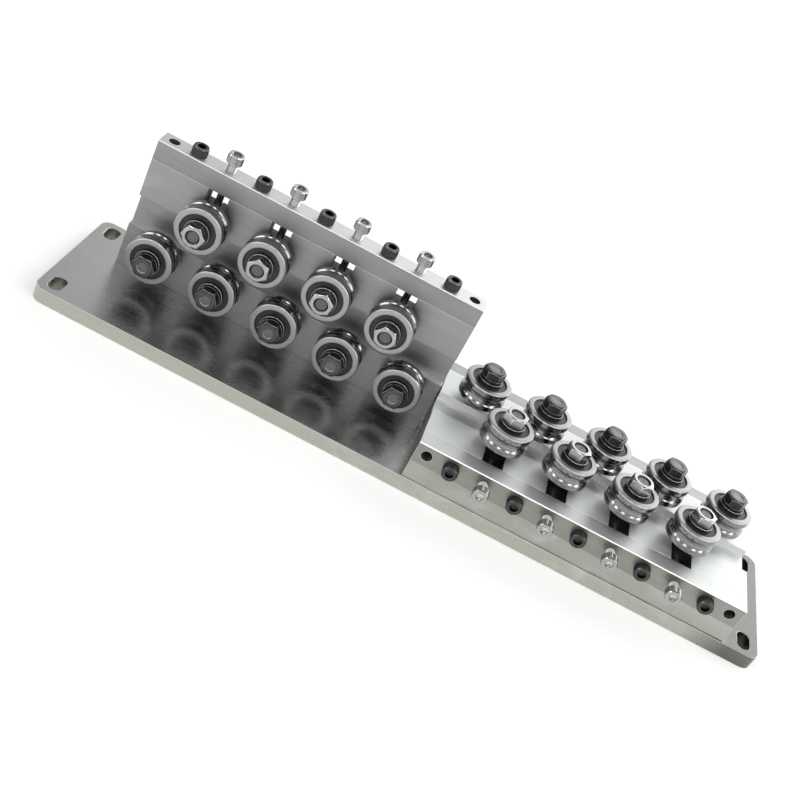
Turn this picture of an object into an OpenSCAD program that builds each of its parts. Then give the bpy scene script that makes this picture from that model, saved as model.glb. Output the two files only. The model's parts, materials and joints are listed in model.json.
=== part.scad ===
// Wire straightener: two nine-roller units on one base plate.
// The left unit stands upright and the right unit lies flat, so the wire is bent straight in two planes.
// The wire runs along X at y = 0. The origin lies under the wire, in the middle of the base plate's
// underside, with +Z up.

/* [Base plate] */
// How far the base plate reaches past the ends of the two units
base_overhang = 24.5; // [22:0.5:60]
// How far the base plate reaches past the front of the flat unit
base_lip = 1; // [0:0.5:10]
// Thickness of the base plate
base_t = 10; // [9:0.5:16]
// Radius of the base plate's corners
base_corner_r = 7; // [3:0.5:7.5]
// Distance from an end of the base plate to the middle of its mounting slots
mount_inset_x = 10; // [8:0.5:12]
// Distance from a long edge of the base plate to the middle of its mounting slots
mount_inset_y = 12; // [10:0.5:14]
// Width of a mounting slot
mount_slot_w = 8.5; // [5:0.5:10]
// End-to-end length of a mounting slot
mount_slot_len = 15; // [11:0.5:18]

/* [Roller units] */
// Distance from one fixed roller to the next
pitch = 42; // [40:0.5:42.5]
// Distance from the outermost fixed roller to the end of its unit
unit_end = 23.5; // [20:0.5:24]
// Gap between the two units
unit_gap = 1; // [0.5:0.5:8]
// Thickness of a roller plate and its adjusting bar
plate_t = 14.5; // [14.5:0.5:20]
// Height of a roller plate without its bar
plate_h = 75.5; // [74:0.5:76]
// Height of an adjusting bar
bar_h = 13; // [10:0.5:13.5]
// Distance from the lower edge of a plate to the fixed axles
fixed_h = 22.4; // [20:0.1:23]
// Open gap between the rims of the fixed and the adjustable rollers
rim_gap = 4.2; // [4.1:0.1:5]
// Width of the channel along the wire
channel_w = 20.6; // [12:0.2:24]
// Depth of the channel along the wire
channel_depth = 5; // [2:0.5:6]
// Diameter of the plain holes at the ends of a bar
end_hole_d = 7; // [5:0.1:8]
// Distance from the end of a bar to its plain hole
end_hole_inset = 7.5; // [6:0.5:9]
// Depth of the plain holes below the top of a bar
end_hole_depth = 30; // [14:1:40]

/* [Rear rail] */
// Thickness of the rail behind the flat unit
rail_t = 10.5; // [9.5:0.5:10.5]

/* [Rollers] */
// Outer diameter of a roller
roller_d = 30; // [28:0.5:31]
// Width of a roller
roller_w = 14; // [12:0.5:15]
// Distance from the plate's face to the middle of a roller
standoff = 12.5; // [12:0.5:15]
// Radius of the wire groove's round section
groove_r = 4; // [3.5:0.1:4.5]
// Depth of the wire groove in the rim
groove_depth = 1.5; // [1:0.1:1.8]
// Bore diameter of the roller's outer ring, which holds the seals
ring_bore_d = 23; // [22:0.2:24]
// Outer diameter of the roller's inner ring
inner_ring_d = 13; // [12:0.2:13.6]
// How deep the balls sit in each ring
race_depth = 0.3; // [0.2:0.05:0.6]
// Number of balls in a roller
ball_count = 8; // [6:1:8]
// Thickness of a seal
seal_t = 1; // [0.8:0.1:1.4]
// Depth of the seal below the roller's face
seal_recess = 0.6; // [0.3:0.1:1]

/* [Fixed axles] */
// Diameter of every roller axle
axle_d = 8; // [7:0.1:8.2]
// Width across flats of the axle bolt heads and the nuts
hex_af = 13; // [12:0.5:14]
// Height of an axle bolt's head
bolt_head_h = 5.3; // [4:0.1:7]
// Depth of the axle bolt's thread in the plate
bolt_grip = 12; // [8:0.5:12]
// Outer diameter of the plain washers
washer_d = 16; // [15:0.5:18]
// Thickness of the plain washers
washer_t = 1.6; // [1:0.1:2]
// Outer diameter of the lock washers
lock_washer_d = 14.4; // [12.5:0.1:15]
// Thickness of the lock washers
lock_washer_t = 2; // [1:0.1:2.5]
// Width of the split in a lock washer
lock_split = 1.2; // [0.6:0.1:2]
// Outer diameter of the spacers behind the fixed rollers
spacer_d = 12; // [10:0.5:13]

/* [Sliding blocks] */
// Width of the guide slots
guide_w = 13.5; // [12.5:0.5:14]
// Depth of the groove in each wall of a guide slot
tongue_depth = 1.5; // [1:0.1:2]
// Thickness of the tongues that run in these grooves
tongue_t = 3; // [2:0.2:4]
// Height of a sliding block
block_h = 15; // [15:0.5:16]
// How far a block sits below each face of its plate
block_recess = 0.25; // [0.2:0.05:0.5]
// How far a block moves from rest towards the wire
travel_in = 5; // [1:0.5:5]
// How far a block moves from rest away from the wire
travel_out = 4; // [1:0.5:5]
// Diameter of the stud's tail in the block
tail_d = 6; // [4:0.2:6]
// Diameter of the stud's collar, which holds the roller off the plate
collar_d = 12; // [10:0.5:13]
// Height of the nut
nut_h = 6.5; // [5:0.1:8]
// How far the stud's end stays below the nut's face
stud_short = 0.8; // [0.2:0.1:2]

/* [Screws] */
// Thread diameter of the adjusting screws and the bar screws
screw_d = 6; // [5:0.2:6]
// Diameter of their heads
head_d = 10; // [9:0.2:11]
// Height of their heads
head_h = 6; // [4:0.2:7]
// Width across flats of the sockets in their heads
socket_af = 5; // [3:0.5:5]
// Depth of these sockets
socket_depth = 3; // [2:0.2:3.5]
// Length of shank between an adjusting screw's head and the bar
shank_out = 5.8; // [5.2:0.1:8]
// Diameter of the plain spigot below an adjusting screw's thread
spigot_d = 4.6; // [4.2:0.1:4.8]
// Diameter of the neck that joins the spigot to its button
neck_d = 3; // [2:0.1:3.4]
// Thickness of the button in the block
button_t = 2; // [1:0.1:2]
// Thickness of the block's lip over the button
lip_t = 1.3; // [1:0.1:1.5]
// Depth of a bar screw's thread in the plate
bar_screw_grip = 15; // [8:0.5:16]

/* [Foot screws] */
// Thread diameter of the screws under the base
foot_d = 5; // [4:0.2:5]
// Diameter of their heads
foot_head_d = 8.5; // [7:0.1:8.6]
// Height of their heads
foot_head_h = 5; // [3:0.2:5]
// Depth of their heads below the base plate's underside
foot_sink = 0.6; // [0.2:0.1:1]
// Depth of their threads in what they hold
foot_grip = 8; // [5:0.5:8.5]
// Distance from the rail's front face to its screws
rail_screw_inset = 4.5; // [4:0.1:4.8]
// Distance from the flat plate's rear edge to its rear screws
rear_screw_inset = 10; // [8:0.5:12]
// Distance from the flat plate's front edge to its front screws
front_screw_inset = 22.5; // [20:0.5:24]

/* [Hidden] */
// Clearance between a running shaft and its bore, on the radius
run_fit = 0.05;
// Clearance between a sliding block and its guide, on each side
slide_fit = 0.05;
// Clearance round a fixed shaft, and between neighbours that are bolted together in one node
seat_fit = 0.02;
// Clearance of a seal from the ring that it is pressed into and the ring that it wipes
seal_fit = 0.06;
// Clearance round a screw that passes freely through a hole
free_fit = 0.3;
// Chamfer on the edges of rings, heads and nuts
edge = 0.6;
// Chamfer on the free edges of the plates
plate_edge = 0.5;
// Chamfer on the edges along which two plates meet
joint_edge = 0.1;
// Room left between a block and the end of its slot
guide_end = 1;
// Extra depth of a tapped hole below its screw
tap_room = 1;
// Width across flats of the sockets in the foot screws
foot_socket_af = 4;
// How far a cut runs past the face that it opens
over = 1;

fixed_count = 5;
adjust_count = 4;
UNITS = ["upright", "flat"];

unit_len = (fixed_count - 1) * pitch + 2 * unit_end;
unit_h = plate_h + bar_h;
unit_x = (unit_len + unit_gap) / 2;
adjust_h = fixed_h + roller_d + rim_gap;
pass_h = fixed_h + (roller_d + rim_gap) / 2;
riser_t = pass_h - standoff - plate_t;
flat_top = base_t + riser_t + plate_t;
mid_t = plate_t / 2;
all_joints = [for (k = [1:4]) joint_edge];

base_len = 2 * (unit_len + base_overhang) + unit_gap;
base_front = unit_h - pass_h + base_lip;
base_back = pass_h + rail_t;

roller_back = standoff - roller_w / 2;
roller_front = standoff + roller_w / 2;
ball_ring_r = (ring_bore_d + inner_ring_d) / 4;
ball_d = (ring_bore_d - inner_ring_d) / 2 + 2 * race_depth;

block_w = guide_w - 2 * slide_fit;
block_t = plate_t - 2 * block_recess;
guide_bottom = adjust_h - block_h / 2 - travel_in - guide_end;

foot_hole_d = foot_d + 2 * free_fit;
foot_head_hole_d = foot_head_d + 2 * free_fit;
foot_sole = foot_sink + foot_head_h;
steel = [0.62, 0.63, 0.61];
bright = [0.80, 0.81, 0.80];
black = [0.13, 0.13, 0.14];

// Places of the fixed and the adjustable rollers along a unit, counted from the wire's left end
function fixed_x(i) = (i - (fixed_count + 1) / 2) * pitch;
function adjust_x(i) = (i - (adjust_count + 1) / 2) * pitch;

// A unit is drawn lying down: X along the wire, Y from its fixed edge to its bar, Z out of its roller face
module on_unit(unit) {
    if (unit == "upright")
        translate([-unit_x, standoff, base_t]) rotate([90, 0, 0]) children();
    else
        translate([unit_x, pass_h, flat_top]) rotate([0, 0, 180]) children();
}
function along(unit, x) = unit == "upright" ? x : -x;

module at_fixed(unit, i) {
    on_unit(unit) translate([along(unit, fixed_x(i)), fixed_h, 0]) children();
}
module at_adjust(unit, i) {
    on_unit(unit) translate([along(unit, adjust_x(i)), adjust_h, 0]) children();
}

// A bar of rectangular section along X. Its long edges are chamfered by the widths in cut: the lower
// and the upper edge of its front face, then the upper and the lower edge of its back
module chamfered_bar(len, high, thick, cut) {
    translate([-len / 2, 0, 0]) rotate([90, 0, 90]) linear_extrude(len)
        polygon([[cut[3], -thick], [high - cut[2], -thick], [high, cut[2] - thick],
                 [high, -cut[1]], [high - cut[1], 0], [cut[0], 0],
                 [0, -cut[0]], [0, cut[3] - thick]]);
}

// A round bar from z = 0 up, with a chamfer at its top end
module pin(d, h) {
    rotate_extrude($fn = 48)
        polygon([[0, 0], [d / 2, 0], [d / 2, h - edge], [d / 2 - edge, h], [0, h]]);
}

// A ring from z = 0 up, with chamfered outer edges
module ring(outer_d, bore_d, h, cut) {
    rotate_extrude($fn = 64)
        polygon([[bore_d / 2, 0], [outer_d / 2 - cut, 0], [outer_d / 2, cut],
                 [outer_d / 2, h - cut], [outer_d / 2 - cut, h], [bore_d / 2, h]]);
}

// A hexagon from z = 0 up, whose corners are turned off at the top
module hex(af, h) {
    corner_r = af / 2 / cos(30);
    intersection() {
        cylinder(r = corner_r, h = h, $fn = 6);
        rotate_extrude($fn = 64)
            polygon([[0, 0], [corner_r, 0], [corner_r, h - (corner_r - af / 2) / 2],
                     [af / 2 - edge / 2, h], [0, h]]);
    }
}

// A socket head from z = 0 up
module socket_head(d, h, af, depth) {
    difference() {
        pin(d, h);
        translate([0, 0, h - depth]) cylinder(r = af / 2 / cos(30), h = depth + over, $fn = 6);
    }
}

// Hole for a foot screw, from the base plate's underside up
module foot_hole() {
    translate([0, 0, -over]) cylinder(d = foot_hole_d, h = base_t + 2 * over, $fn = 32);
    translate([0, 0, -over]) cylinder(d = foot_head_hole_d, h = foot_sole + over, $fn = 32);
}

// Foot screw with its head at the base plate's underside, reaching up into what it holds
module foot_screw(reach) {
    translate([0, 0, foot_sink]) difference() {
        union() {
            cylinder(d = foot_head_d, h = foot_head_h, $fn = 48);
            cylinder(d = foot_d - 2 * seat_fit, h = reach - foot_sink, $fn = 48);
        }
        translate([0, 0, -over])
            cylinder(r = foot_socket_af / 2 / cos(30), h = foot_head_h / 2 + over, $fn = 6);
    }
}

// Places of the foot screws: under the upright plate, under the rear rail, and under the flat unit
module at_upright_feet() {
    for (k = [-1.5, 0, 1.5]) translate([-unit_x + k * pitch, standoff + mid_t, 0]) children();
}
module at_rail_feet() {
    for (k = [-2, 0, 2]) translate([unit_x + k * pitch, pass_h + rail_screw_inset, 0]) children();
}
module at_flat_feet() {
    for (k = [-1.5, 1.5]) translate([unit_x + k * pitch, pass_h - rear_screw_inset, 0]) children();
    for (k = [-1, 1])
        translate([unit_x + k * pitch, pass_h - plate_h + front_screw_inset, 0]) children();
}

// Ground steel base with rounded corners and four slots across the wire
module base_plate() {
    wid = base_front + base_back;
    color(steel) difference() {
        translate([0, base_back - wid / 2, 0]) rounded_plate(base_len, wid, base_corner_r, base_t);
        for (s = [-1, 1], y = [mount_inset_y - base_front, base_back - mount_inset_y])
            translate([s * (base_len / 2 - mount_inset_x), y, -over]) mount_slot();
        at_upright_feet() foot_hole();
        at_rail_feet() foot_hole();
        at_flat_feet() foot_hole();
    }
}
module rounded_plate(len, wid, r, h) {
    linear_extrude(h) {
        square([len - 2 * r, wid], center = true);
        square([len, wid - 2 * r], center = true);
        for (sx = [-1, 1], sy = [-1, 1])
            translate([sx * (len / 2 - r), sy * (wid / 2 - r)]) circle(r, $fn = 48);
    }
}
module mount_slot() {
    straight = mount_slot_len - mount_slot_w;
    for (s = [-1, 1]) translate([0, s * straight / 2, 0])
        cylinder(d = mount_slot_w, h = base_t + 2 * over, $fn = 48);
    translate([-mount_slot_w / 2, -straight / 2, 0]) cube([mount_slot_w, straight, base_t + 2 * over]);
}

// Flat plate that lifts the flat unit, so that its rollers meet the wire
module riser_plate() {
    color(steel) difference() {
        on_unit("flat") translate([0, 0, -plate_t])
            chamfered_bar(unit_len, unit_h, riser_t, all_joints);
        at_flat_feet() translate([0, 0, base_t - over])
            cylinder(d = foot_hole_d, h = riser_t + 2 * over, $fn = 32);
    }
}

// Square bar behind the flat unit, which it locates and whose top it meets
module rear_rail() {
    color(steel) difference() {
        translate([unit_x, pass_h, flat_top]) chamfered_bar(unit_len, rail_t, riser_t + plate_t,
            [joint_edge, plate_edge, joint_edge, joint_edge]);
        at_rail_feet() translate([0, 0, base_t - over])
            cylinder(d = foot_d, h = foot_grip + tap_room + over, $fn = 32);
    }
}

// Plate that carries the fixed axles and guides the sliding blocks
module roller_plate(unit) {
    color(steel) difference() {
        on_unit(unit) difference() {
            chamfered_bar(unit_len, plate_h, plate_t, all_joints);
            translate([-unit_len / 2 - over, pass_h - channel_w / 2, -channel_depth])
                cube([unit_len + 2 * over, channel_w, channel_depth + over]);
            for (i = [1:adjust_count]) translate([adjust_x(i), 0, 0]) guide_slot();
            for (i = [1:fixed_count]) translate([fixed_x(i), 0, 0]) {
                translate([0, fixed_h, -bolt_grip - tap_room])
                    cylinder(d = axle_d, h = bolt_grip + tap_room + over, $fn = 48);
                translate([0, plate_h - bar_screw_grip - tap_room, -mid_t]) rotate([-90, 0, 0])
                    cylinder(d = screw_d, h = bar_screw_grip + tap_room + over, $fn = 48);
            }
            for (s = [-1, 1])
                translate([s * (unit_len / 2 - end_hole_inset), unit_h - end_hole_depth, -mid_t])
                    rotate([-90, 0, 0]) cylinder(d = end_hole_d, h = end_hole_depth, $fn = 48);
        }
        if (unit == "upright") at_upright_feet() translate([0, 0, base_t - over])
            cylinder(d = foot_d, h = foot_grip + tap_room + over, $fn = 32);
        if (unit == "flat") at_flat_feet() translate([0, 0, base_t + riser_t - over])
            cylinder(d = foot_d, h = foot_grip + tap_room + over, $fn = 32);
    }
}
// Slot through the plate, open at the top, with a groove in each wall for the block's tongues
module guide_slot() {
    high = plate_h - guide_bottom + over;
    translate([-guide_w / 2, guide_bottom, -plate_t - over]) cube([guide_w, high, plate_t + 2 * over]);
    translate([-guide_w / 2 - tongue_depth, guide_bottom, -mid_t - tongue_t / 2])
        cube([guide_w + 2 * tongue_depth, high, tongue_t]);
}

// Bar that closes the guide slots and carries the adjusting screws
module adjusting_bar(unit) {
    back_edge = unit == "upright" ? plate_edge : joint_edge;
    color(steel) on_unit(unit) difference() {
        translate([0, plate_h, 0])
            chamfered_bar(unit_len, bar_h, plate_t, [joint_edge, plate_edge, back_edge, joint_edge]);
        for (i = [1:adjust_count]) bar_hole(adjust_x(i), screw_d + 2 * run_fit);
        for (i = [1:fixed_count]) bar_hole(fixed_x(i), screw_d + 2 * free_fit);
        for (s = [-1, 1]) bar_hole(s * (unit_len / 2 - end_hole_inset), end_hole_d);
    }
}
module bar_hole(x, d) {
    translate([x, plate_h - over, -mid_t]) rotate([-90, 0, 0])
        cylinder(d = d, h = bar_h + 2 * over, $fn = 48);
}

// Black socket-head screws that hold the bars to the plates
module bar_screws() {
    reach = bar_h + bar_screw_grip;
    color(black) for (unit = UNITS, i = [1:fixed_count])
        on_unit(unit) translate([fixed_x(i), unit_h, -mid_t]) rotate([-90, 0, 0]) {
            socket_head(head_d, head_h, socket_af, socket_depth);
            translate([0, 0, -reach]) cylinder(d = screw_d - 2 * seat_fit, h = reach, $fn = 48);
        }
}

// Black hex bolts that are the axles of the fixed rollers
module fixed_axle_bolts() {
    head_z = roller_front + washer_t + lock_washer_t;
    color(black) for (unit = UNITS, i = [1:fixed_count]) at_fixed(unit, i) {
        translate([0, 0, head_z]) hex(hex_af, bolt_head_h);
        translate([0, 0, -bolt_grip])
            cylinder(d = axle_d - 2 * seat_fit, h = bolt_grip + head_z, $fn = 48);
    }
}
module fixed_axle_washers() {
    color(black) for (unit = UNITS, i = [1:fixed_count]) at_fixed(unit, i)
        translate([0, 0, roller_front]) ring(washer_d, axle_d, washer_t, washer_t / 4);
}
module fixed_axle_lock_washers() {
    color(black) for (unit = UNITS, i = [1:fixed_count]) at_fixed(unit, i)
        translate([0, 0, roller_front + washer_t]) difference() {
            ring(lock_washer_d, axle_d, lock_washer_t, lock_washer_t / 10);
            translate([0, -lock_split / 2, -over])
                cube([lock_washer_d, lock_split, lock_washer_t + 2 * over]);
        }
}
module fixed_axle_spacers() {
    color(bright) for (unit = UNITS, i = [1:fixed_count]) at_fixed(unit, i)
        ring(spacer_d, axle_d, roller_back, edge / 2);
}

// Inner rings of the fixed rollers, clamped between their spacers and washers
module fixed_inner_rings() {
    color(bright) for (unit = UNITS, i = [1:fixed_count]) at_fixed(unit, i) inner_ring();
}
module inner_ring() {
    race_r = ball_d / 2 + run_fit;
    translate([0, 0, standoff]) rotate_extrude($fn = 64) difference() {
        translate([axle_d / 2, -roller_w / 2]) square([(inner_ring_d - axle_d) / 2, roller_w]);
        translate([ball_ring_r, 0]) circle(race_r, $fn = 48);
    }
}

// Roller: grooved outer ring, its two seals and its balls
module roller() {
    seal_z = roller_w / 2 - seal_recess - seal_t;
    translate([0, 0, standoff]) {
        color(bright) outer_ring();
        color(black) for (z = [-seal_z - seal_t, seal_z]) translate([0, 0, z])
            ring(ring_bore_d - 2 * seal_fit, inner_ring_d + 2 * seal_fit, seal_t, seal_t / 8);
        color(bright) for (k = [1:ball_count]) rotate([0, 0, k * 360 / ball_count])
            translate([ball_ring_r, 0, 0]) sphere(d = ball_d, $fn = 32);
    }
}
module outer_ring() {
    half_w = roller_w / 2;
    race_r = ball_d / 2 + run_fit;
    rotate_extrude($fn = 96) difference() {
        polygon([[ring_bore_d / 2, -half_w], [roller_d / 2 - edge, -half_w], [roller_d / 2, edge - half_w],
                 [roller_d / 2, half_w - edge], [roller_d / 2 - edge, half_w], [ring_bore_d / 2, half_w]]);
        translate([roller_d / 2 + groove_r - groove_depth, 0]) circle(groove_r, $fn = 64);
        translate([ball_ring_r, 0]) circle(race_r, $fn = 48);
    }
}

// Block that slides in the guide slot, with its tongues, the stud's bore and the T-slot for the button
module sliding_block() {
    color(steel) difference() {
        union() {
            translate([-block_w / 2, -block_h / 2, -plate_t + block_recess])
                cube([block_w, block_h, block_t]);
            translate([-block_w / 2 - tongue_depth, -block_h / 2, -mid_t - tongue_t / 2 + slide_fit])
                cube([block_w + 2 * tongue_depth, block_h, tongue_t - 2 * slide_fit]);
        }
        translate([0, 0, -plate_t]) cylinder(d = tail_d, h = plate_t + over, $fn = 48);
        key_slot(neck_d + 2 * run_fit, block_h / 2 - lip_t - over, lip_t + 2 * over);
        key_slot(spigot_d + 2 * run_fit, block_h / 2 - lip_t - button_t - 2 * run_fit,
                 button_t + 2 * run_fit);
    }
}
// Upright keyhole that is open at the block's back, so the screw's neck and button slide in
module key_slot(w, y, high) {
    translate([0, y, -mid_t]) rotate([-90, 0, 0]) cylinder(d = w, h = high, $fn = 48);
    translate([-w / 2, y, -plate_t - over]) cube([w, high, mid_t + over]);
}

// Shouldered stud of an adjustable roller, with its inner ring, washer and nut
module stud_and_nut() {
    nut_z = roller_front + seat_fit + washer_t + seat_fit;
    stud_end = nut_z + nut_h - stud_short;
    color(black) {
        translate([0, 0, -plate_t + block_recess])
            cylinder(d = tail_d - 2 * seat_fit, h = block_t + seat_fit, $fn = 48);
        translate([0, 0, -block_recess])
            cylinder(d = collar_d, h = roller_back + block_recess - seat_fit, $fn = 48);
        pin(axle_d - 2 * seat_fit, stud_end);
    }
    color(bright) {
        inner_ring();
        translate([0, 0, roller_front + seat_fit]) ring(washer_d, axle_d, washer_t, washer_t / 4);
        translate([0, 0, nut_z]) difference() {
            hex(hex_af, nut_h);
            translate([0, 0, -over]) cylinder(d = axle_d, h = nut_h + 2 * over, $fn = 48);
        }
    }
}

// Bright socket-head screw: thread in the bar, spigot in the slot, neck and button in the block
module adjusting_screw() {
    head_y = unit_h + shank_out - adjust_h;
    thread_y = plate_h - adjust_h;
    spigot_y = block_h / 2 + run_fit;
    button_y = block_h / 2 - lip_t - button_t - run_fit;
    color(bright) translate([0, 0, -mid_t]) rotate([-90, 0, 0]) {
        translate([0, 0, head_y]) socket_head(head_d, head_h, socket_af, socket_depth);
        translate([0, 0, thread_y]) cylinder(d = screw_d, h = head_y - thread_y, $fn = 48);
        translate([0, 0, spigot_y]) cylinder(d = spigot_d, h = thread_y - spigot_y, $fn = 48);
        translate([0, 0, button_y]) cylinder(d = neck_d, h = spigot_y - button_y, $fn = 48);
        translate([0, 0, button_y]) cylinder(d = spigot_d, h = button_t, $fn = 48);
    }
}

// Screws under the base: short ones hold the upright plate and the rail, long ones the flat unit
module short_foot_screws() {
    color(black) {
        at_upright_feet() foot_screw(base_t + foot_grip);
        at_rail_feet() foot_screw(base_t + foot_grip);
    }
}
module long_foot_screws() {
    color(black) at_flat_feet() foot_screw(base_t + riser_t + foot_grip);
}

base_plate();
riser_plate();
rear_rail();
bar_screws();
fixed_axle_bolts();
fixed_axle_washers();
fixed_axle_lock_washers();
fixed_axle_spacers();
fixed_inner_rings();
short_foot_screws();
long_foot_screws();
for (u = UNITS) {
    roller_plate(u);
    adjusting_bar(u);
}
for (u = UNITS, i = [1:fixed_count])
    at_fixed(u, i) roller();
for (u = UNITS, i = [1:adjust_count]) {
    at_adjust(u, i) roller();
    at_adjust(u, i) sliding_block();
    at_adjust(u, i) stud_and_nut();
    at_adjust(u, i) adjusting_screw();
}
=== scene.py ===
import json
import math

import bmesh
import bpy
from mathutils import Matrix, Vector
from mathutils.bvhtree import BVHTree


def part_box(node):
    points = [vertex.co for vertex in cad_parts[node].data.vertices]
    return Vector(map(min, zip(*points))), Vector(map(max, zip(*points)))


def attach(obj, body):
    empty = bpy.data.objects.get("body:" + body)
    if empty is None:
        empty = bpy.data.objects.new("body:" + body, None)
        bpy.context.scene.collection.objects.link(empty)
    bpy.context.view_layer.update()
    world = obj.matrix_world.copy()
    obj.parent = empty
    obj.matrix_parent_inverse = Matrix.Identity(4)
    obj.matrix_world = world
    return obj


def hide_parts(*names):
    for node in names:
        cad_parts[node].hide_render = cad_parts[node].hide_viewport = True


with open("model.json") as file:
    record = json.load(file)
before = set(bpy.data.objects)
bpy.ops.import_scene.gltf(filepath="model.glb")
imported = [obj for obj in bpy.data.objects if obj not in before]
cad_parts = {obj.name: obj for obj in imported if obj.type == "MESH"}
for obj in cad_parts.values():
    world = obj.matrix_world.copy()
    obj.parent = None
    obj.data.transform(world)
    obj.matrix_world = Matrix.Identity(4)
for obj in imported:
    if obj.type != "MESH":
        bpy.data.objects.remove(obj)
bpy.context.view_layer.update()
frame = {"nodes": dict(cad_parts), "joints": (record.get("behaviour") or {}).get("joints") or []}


# Camera: it stands in front of the upright unit and above it, and is rolled so that the wire runs down to
# the right. The three turns are its heading, its tilt and its roll.
scene = bpy.context.scene
scene.view_settings.view_transform = "Standard"
camera_data = bpy.data.cameras.new("camera")
camera_data.sensor_width = 36
camera_data.lens = 55.82
camera_data.clip_start = 0.01
camera = bpy.data.objects.new("camera", camera_data)
camera.location = (-0.047186, -0.638513, 0.436389)
heading = Matrix.Rotation(math.radians(-2.5149), 3, "Z")
tilt = Matrix.Rotation(math.radians(57.1791), 3, "X")
roll = Matrix.Rotation(math.radians(28.9934), 3, "Z")
camera.rotation_euler = (heading @ tilt @ roll).to_euler()
scene.collection.objects.link(camera)
scene.camera = camera


# Base plate: a steel plate with rounded corners, four mounting slots and counterbored holes for the screws
# under it. It is milled to shape and surface-ground, its edges are broken, and its top is marked by use.
def arithmetic(tree, operation, first, second):
    """The value that comes of two sockets or numbers."""
    node = tree.nodes.new("ShaderNodeMath")
    node.operation = operation
    for socket, value in zip(node.inputs, (first, second)):
        if isinstance(value, (int, float)):
            socket.default_value = value
        else:
            tree.links.new(value, socket)
    return node.outputs[0]


def between(tree, value, low, high, to_low=0.0, to_high=1.0):
    """The value spread from one range to another, and held at its ends."""
    node = tree.nodes.new("ShaderNodeMapRange")
    node.inputs["From Min"].default_value = low
    node.inputs["From Max"].default_value = high
    node.inputs["To Min"].default_value = to_low
    node.inputs["To Max"].default_value = to_high
    tree.links.new(value, node.inputs["Value"])
    return node.outputs[0]


def stretched(tree, coordinates, scale, turn=(0, 0, 0)):
    """Coordinates that are turned, then packed closer along each axis by its own scale."""
    turned_round = tree.nodes.new("ShaderNodeMapping")
    turned_round.vector_type = "POINT"
    turned_round.inputs["Rotation"].default_value = turn
    tree.links.new(coordinates, turned_round.inputs["Vector"])
    packed = tree.nodes.new("ShaderNodeVectorMath")
    packed.operation = "MULTIPLY"
    packed.inputs[1].default_value = scale
    tree.links.new(turned_round.outputs[0], packed.inputs[0])
    return packed.outputs[0]


def noise(tree, coordinates, scale, detail, roughness, distortion=0.0):
    """Soft random patches, so many to a metre as the scale says."""
    node = tree.nodes.new("ShaderNodeTexNoise")
    node.inputs["Scale"].default_value = scale
    node.inputs["Detail"].default_value = detail
    node.inputs["Roughness"].default_value = roughness
    node.inputs["Distortion"].default_value = distortion
    tree.links.new(coordinates, node.inputs["Vector"])
    return node.outputs["Fac"]


def group_with(name, *outputs):
    """An empty node group that takes coordinates and gives out these values, and its two end nodes."""
    group = bpy.data.node_groups.new(name, "ShaderNodeTree")
    group.interface.new_socket("Coordinates", in_out="INPUT", socket_type="NodeSocketVector")
    for socket_name in outputs:
        group.interface.new_socket(socket_name, in_out="OUTPUT", socket_type="NodeSocketFloat")
    return group, group.nodes.new("NodeGroupInput"), group.nodes.new("NodeGroupOutput")


def make_grinding_marks():
    """Fine parallel marks that a grinding wheel leaves along X, and broader bands where it wore."""
    group, start, end = group_with("grinding_marks", "Height", "Bands")
    fine = stretched(group, start.outputs[0], (26, 2600, 2600))
    broad = stretched(group, start.outputs[0], (5, 190, 190))
    lines = noise(group, fine, scale=1, detail=4, roughness=0.7)
    bands = noise(group, broad, scale=1, detail=3, roughness=0.6)
    group.links.new(lines, end.inputs["Height"])
    group.links.new(between(group, bands, 0.3, 0.7), end.inputs["Bands"])
    return group


def make_handling_marks():
    """Pale wiped smears, short scratches and small dark specks that shop use leaves on steel."""
    speck_cells = 210
    speck_size = (0.05, 0.13)
    speck_rarity = (0.86, 0.88)
    group, start, end = group_with("handling_marks", "Smears", "Scratches", "Specks")
    place = start.outputs[0]
    wiping = stretched(group, place, (16, 42, 42), turn=(0, 0, 0.7))
    wiped = noise(group, wiping, scale=1, detail=4, roughness=0.5, distortion=1.4)
    clouds = noise(group, place, scale=9, detail=2, roughness=0.5)
    smears = arithmetic(
        group, "MULTIPLY", between(group, wiped, 0.5, 0.72), between(group, clouds, 0.4, 0.62))
    one_way = stretched(group, place, (34, 1500, 700), turn=(0, 0, 0.55))
    other_way = stretched(group, place, (42, 1300, 700), turn=(0, 0, -0.9))
    long_lines = noise(group, one_way, scale=1, detail=2, roughness=0.5)
    cross_lines = noise(group, other_way, scale=1, detail=2, roughness=0.5)
    sharpest = arithmetic(group, "MAXIMUM", long_lines, cross_lines)
    scratches = arithmetic(
        group, "MULTIPLY", between(group, sharpest, 0.7, 0.76), between(group, clouds, 0.46, 0.6))
    spots = group.nodes.new("ShaderNodeTexVoronoi")
    spots.inputs["Scale"].default_value = speck_cells
    group.links.new(place, spots.inputs["Vector"])
    small = between(group, spots.outputs["Distance"], *speck_size, 1, 0)
    separate = group.nodes.new("ShaderNodeSeparateColor")
    group.links.new(spots.outputs["Color"], separate.inputs[0])
    rare = between(group, separate.outputs[0], *speck_rarity)
    group.links.new(smears, end.inputs["Smears"])
    group.links.new(scratches, end.inputs["Scratches"])
    group.links.new(arithmetic(group, "MULTIPLY", small, rare), end.inputs["Specks"])
    return group


grinding_marks = make_grinding_marks()
handling_marks = make_handling_marks()


def start_material(name, metallic, roughness):
    """A new material with its shader, and Object coordinates."""
    material = bpy.data.materials.new(name)
    material.use_nodes = True
    tree = material.node_tree
    surface = tree.nodes["Principled BSDF"]
    surface.inputs["Metallic"].default_value = metallic
    surface.inputs["Roughness"].default_value = roughness
    coordinates = tree.nodes.new("ShaderNodeTexCoord")
    return material, tree, surface, coordinates.outputs["Object"]


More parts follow.
